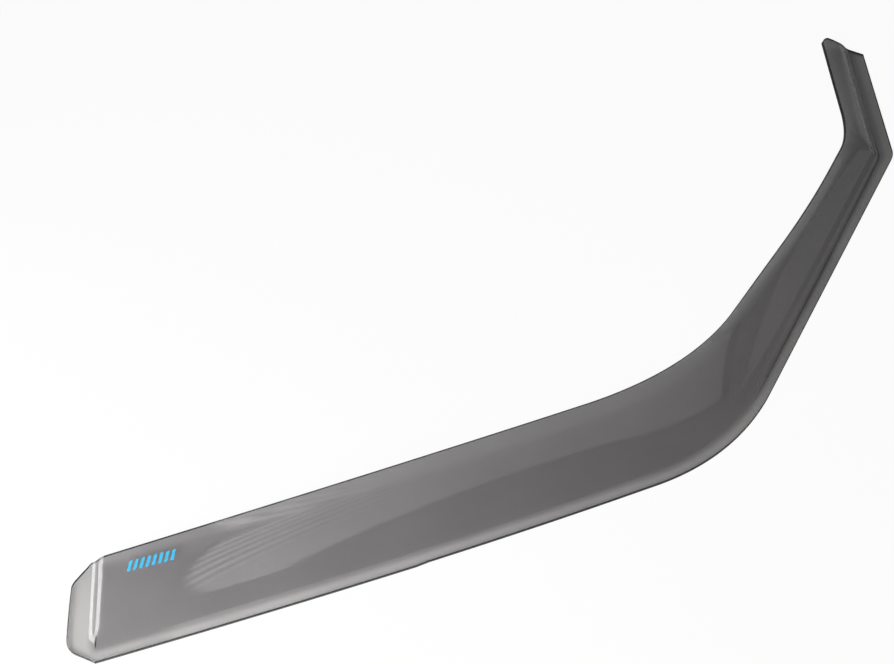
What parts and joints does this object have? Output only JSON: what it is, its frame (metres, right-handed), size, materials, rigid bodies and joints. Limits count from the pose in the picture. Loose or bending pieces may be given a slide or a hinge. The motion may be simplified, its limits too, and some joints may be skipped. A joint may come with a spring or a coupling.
{
  "type": "window rain deflector",
  "caption": "Smoke-tinted moulded acrylic strip for the top and pillar edge of a left front side window: a flat fixing flange, a step and a raised crowned band that sheds rain.",
  "frame": {"origin": "middle of the outline, on the plane of the flange's flat underside, which lies on the door frame", "axes": "+X forward along the top of the window, +Y down the window, +Z away from the vehicle"},
  "size_m": [0.882, 0.426, 0.0194],
  "materials": {
    "smoked_acrylic": "glossy, see-through smoke grey"
  },
  "bodies": {
    "root": {"deflector": "smoked_acrylic"}
  },
  "joints": []
}
